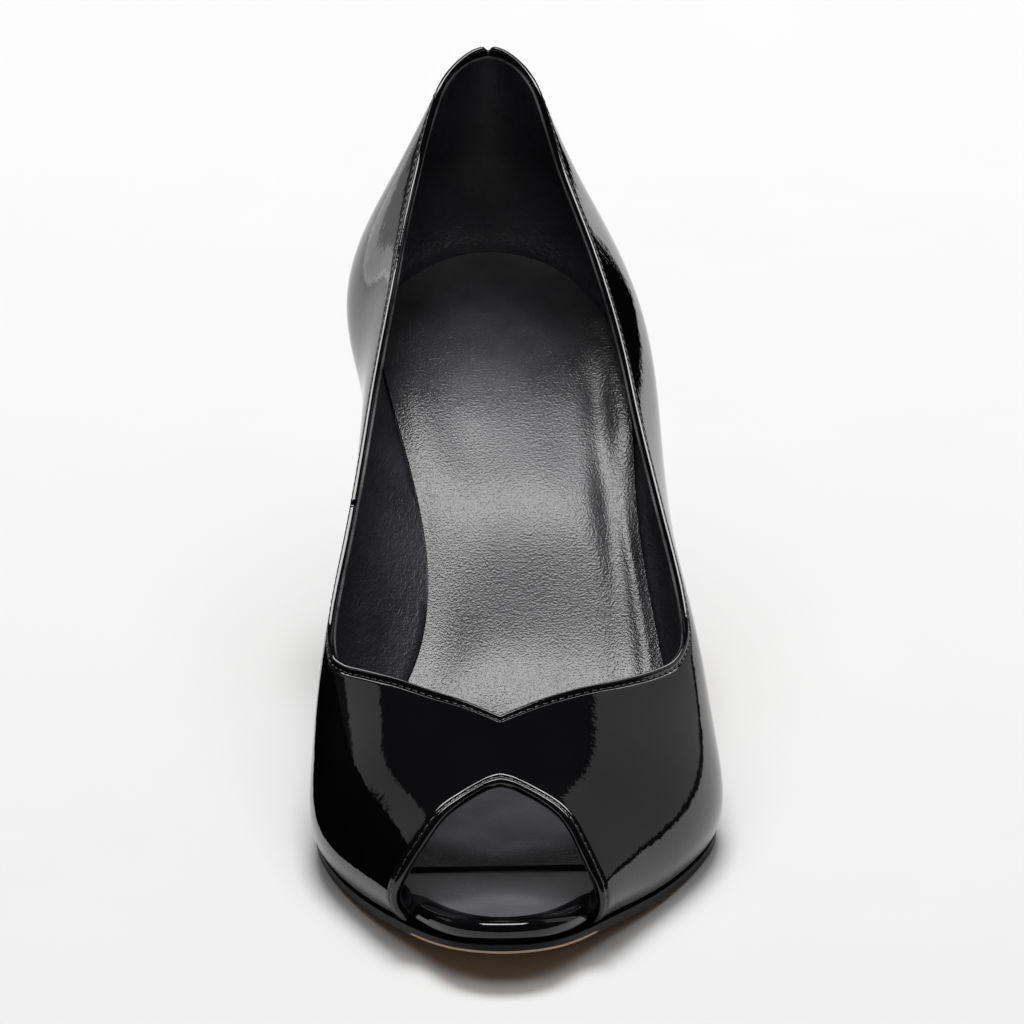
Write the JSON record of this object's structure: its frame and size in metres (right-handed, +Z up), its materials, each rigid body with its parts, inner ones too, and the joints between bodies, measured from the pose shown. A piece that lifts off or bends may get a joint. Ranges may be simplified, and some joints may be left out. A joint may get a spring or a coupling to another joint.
{
  "type": "heeled shoe",
  "caption": "Open-toed court shoe in black patent leather with a V-cut throat, thin leather sole and slim covered heel, for the left foot.",
  "frame": {"origin": "centre of the bounding box in plan, on the floor under the shoe", "axes": "+Z up, toe towards -Y, heel towards +Y, inner (arch) side -X, outer side +X"},
  "size_m": [0.0852, 0.2266, 0.1219],
  "materials": {
    "patent": "black patent, mirror gloss under a clear coat",
    "sole_leather": "tan sole leather, satin, with a black inked edge",
    "board": "smooth dark leather cover over fibre board, matt",
    "sock_leather": "fine grained black leather with a silvery sheen",
    "rubber": "matt black"
  },
  "bodies": {
    "root": {"upper": "patent", "outsole": "sole_leather", "insole": "board", "toe_wrap": "patent", "sock": "sock_leather", "heel": "patent", "top_piece": "rubber"}
  },
  "joints": []
}
